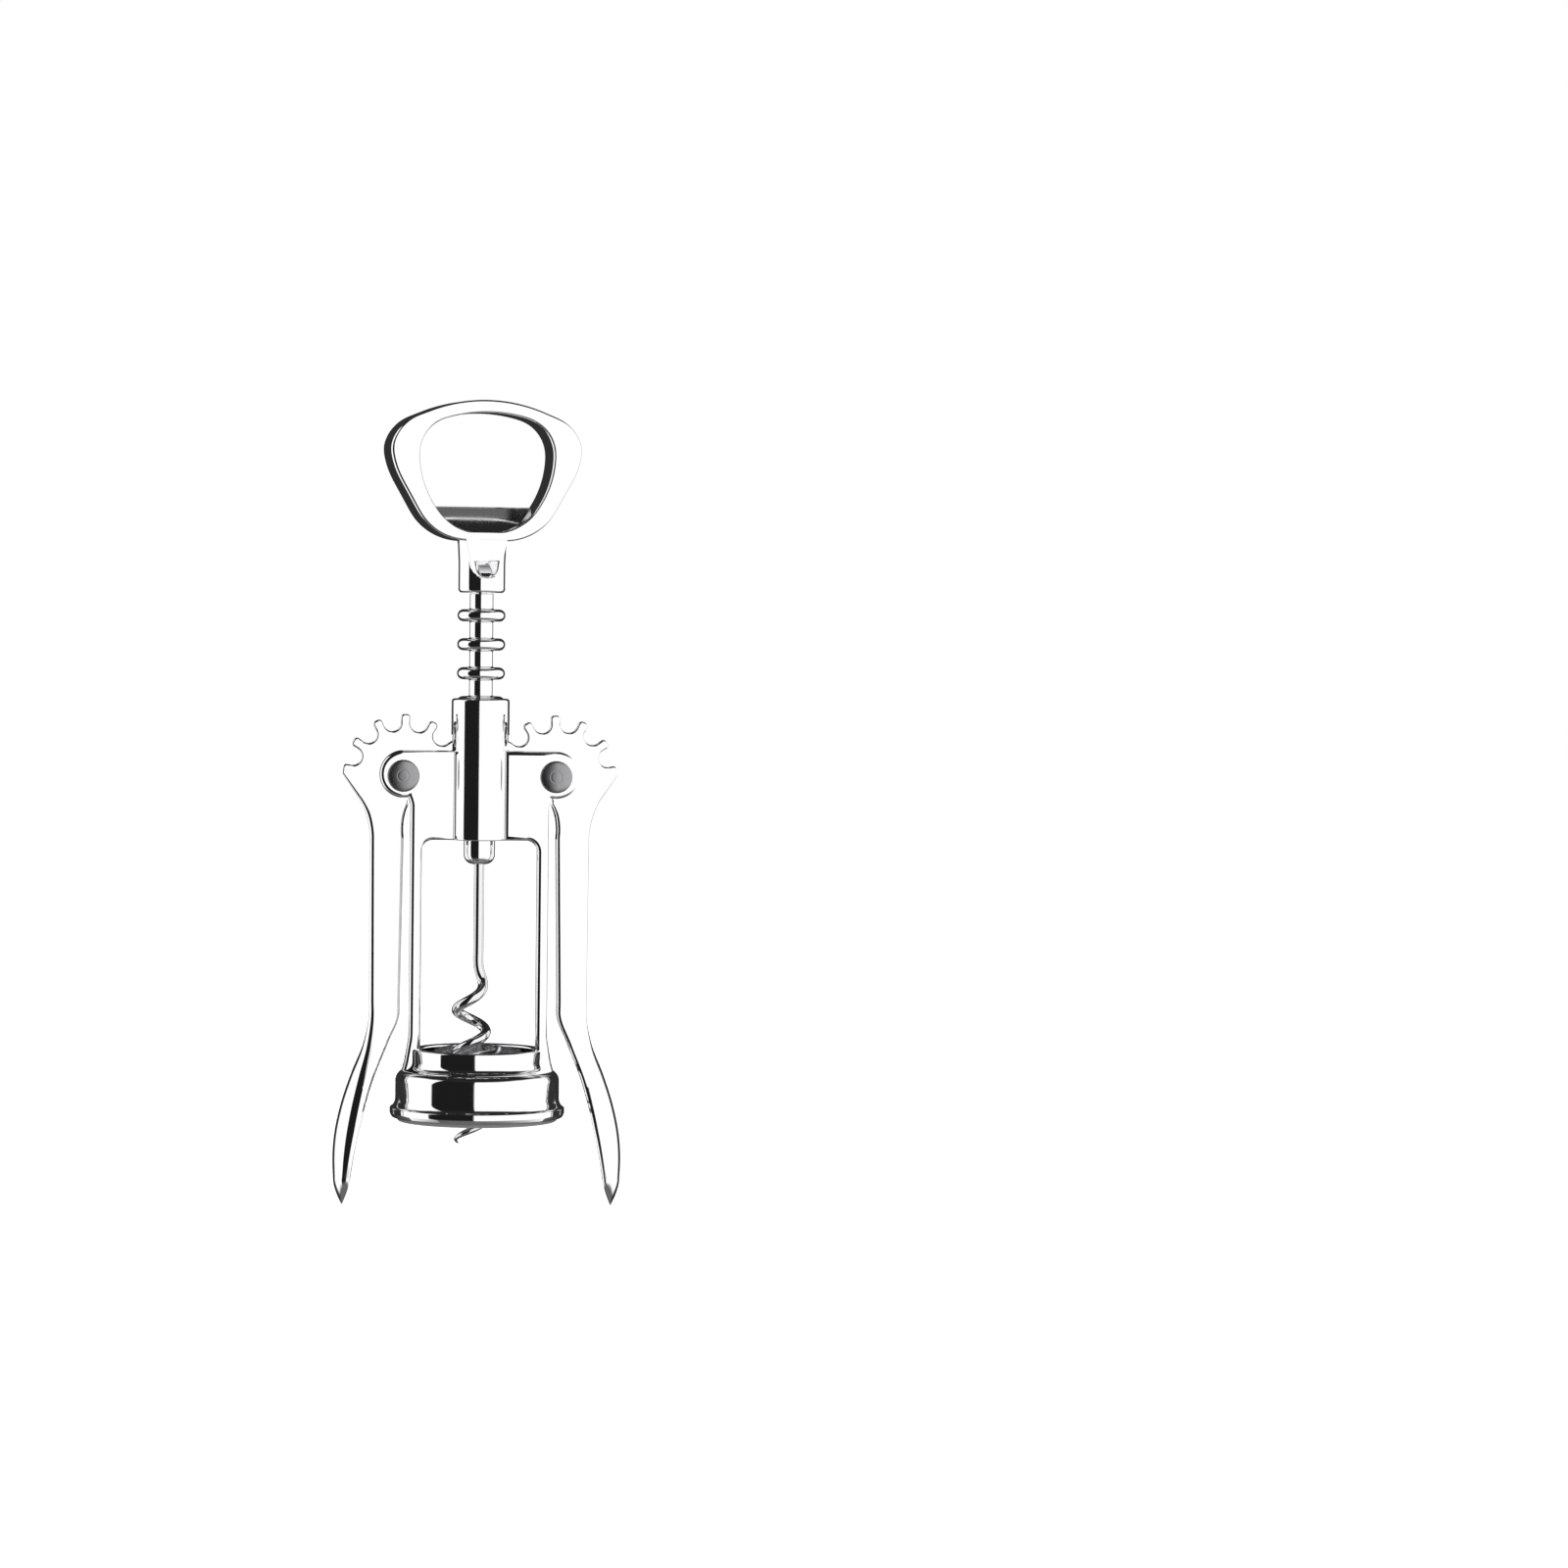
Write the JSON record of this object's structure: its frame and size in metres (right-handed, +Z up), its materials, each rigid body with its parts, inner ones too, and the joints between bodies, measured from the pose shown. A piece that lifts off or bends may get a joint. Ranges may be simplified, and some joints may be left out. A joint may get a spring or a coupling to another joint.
{
  "type": "lever corkscrew",
  "caption": "Chromed lever corkscrew: bell and fork frame, geared levers, ring rack, ring handle with cap lifter, and a wire worm.",
  "frame": {"origin": "middle of the bell's mouth, where the bottle goes in", "axes": "+Z up the worm's axis towards the handle, +X towards the right lever seen from the front, front face towards -Y"},
  "size_m": [0.0664, 0.0406, 0.1852],
  "materials": {
    "chrome": "polished chrome plate",
    "steel": "plain steel, darker than the plate",
    "grey_plastic": "matte moulded plastic"
  },
  "bodies": {
    "frame": {"frame_casting": "chrome", "bell_liner": "grey_plastic", "left_pivot_rivet": "steel", "right_pivot_rivet": "steel"},
    "rack": {"rack_sleeve": "chrome"},
    "spindle": {"handle": "chrome", "worm": "chrome", "ferrule": "chrome", "handle_cross_pin": "steel"},
    "left_arm": {"left_lever": "chrome"},
    "right_arm": {"right_lever": "chrome"}
  },
  "joints": [
    {"name": "rack_slide", "type": "slide", "parent": "frame", "child": "rack", "axis": [0, 0, -1], "range_m": [0, 0.0294]},
    {"name": "handle_turn", "type": "hinge", "parent": "rack", "child": "spindle", "pos_m": [0, 0, 0.12], "axis": [0, 0, 1], "continuous": true},
    {"name": "left_lever_lift", "type": "hinge", "parent": "frame", "child": "left_arm", "pos_m": [-0.0175, 0, 0.0785], "axis": [0, 1, 0], "range_deg": [0, 125.8]},
    {"name": "right_lever_lift", "type": "hinge", "parent": "frame", "child": "right_arm", "pos_m": [0.0175, 0, 0.0785], "axis": [0, -1, 0], "range_deg": [0, 125.8]}
  ],
  "couplings": [
    {"joint": "left_lever_lift", "follows": "rack_slide", "rad_per_m": 74.627},
    {"joint": "right_lever_lift", "follows": "rack_slide", "rad_per_m": 74.627}
  ]
}
